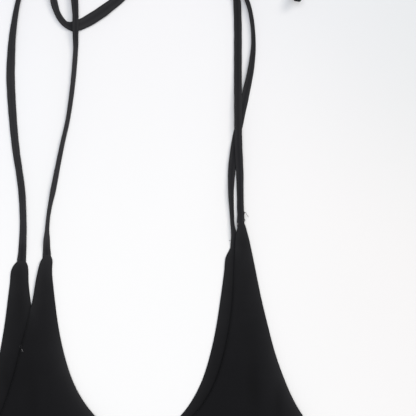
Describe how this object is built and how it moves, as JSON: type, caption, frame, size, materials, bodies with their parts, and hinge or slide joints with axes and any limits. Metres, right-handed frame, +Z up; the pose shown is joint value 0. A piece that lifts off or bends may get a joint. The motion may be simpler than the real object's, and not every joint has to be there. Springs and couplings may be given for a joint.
{
  "type": "tank top",
  "caption": "Flat-laid sleeveless top: curved neckline, cut-away armholes, straight hem, and narrow ties knotted over each shoulder with loose ends.",
  "frame": {"origin": "middle of the footprint of the front and back panels, on the surface that the top lies on", "axes": "+Z up from the surface, out of the front; +Y from the hem to the shoulders; +X across the front, to the right as seen from above"},
  "size_m": [0.381, 0.8234, 0.01],
  "materials": {
    "body_cloth": "matte fine weave, dyed black",
    "tie_cloth": "matte turned tube of the same cloth, dyed black"
  },
  "bodies": {
    "root": {"front": "body_cloth", "back": "body_cloth", "tie_front_left": "tie_cloth", "tie_front_right": "tie_cloth", "tie_back_left": "tie_cloth", "tie_back_right": "tie_cloth", "tail_front_left": "tie_cloth", "tail_front_right": "tie_cloth", "tail_back_left": "tie_cloth", "tail_back_right": "tie_cloth", "knot_left": "tie_cloth", "knot_right": "tie_cloth"}
  },
  "joints": []
}
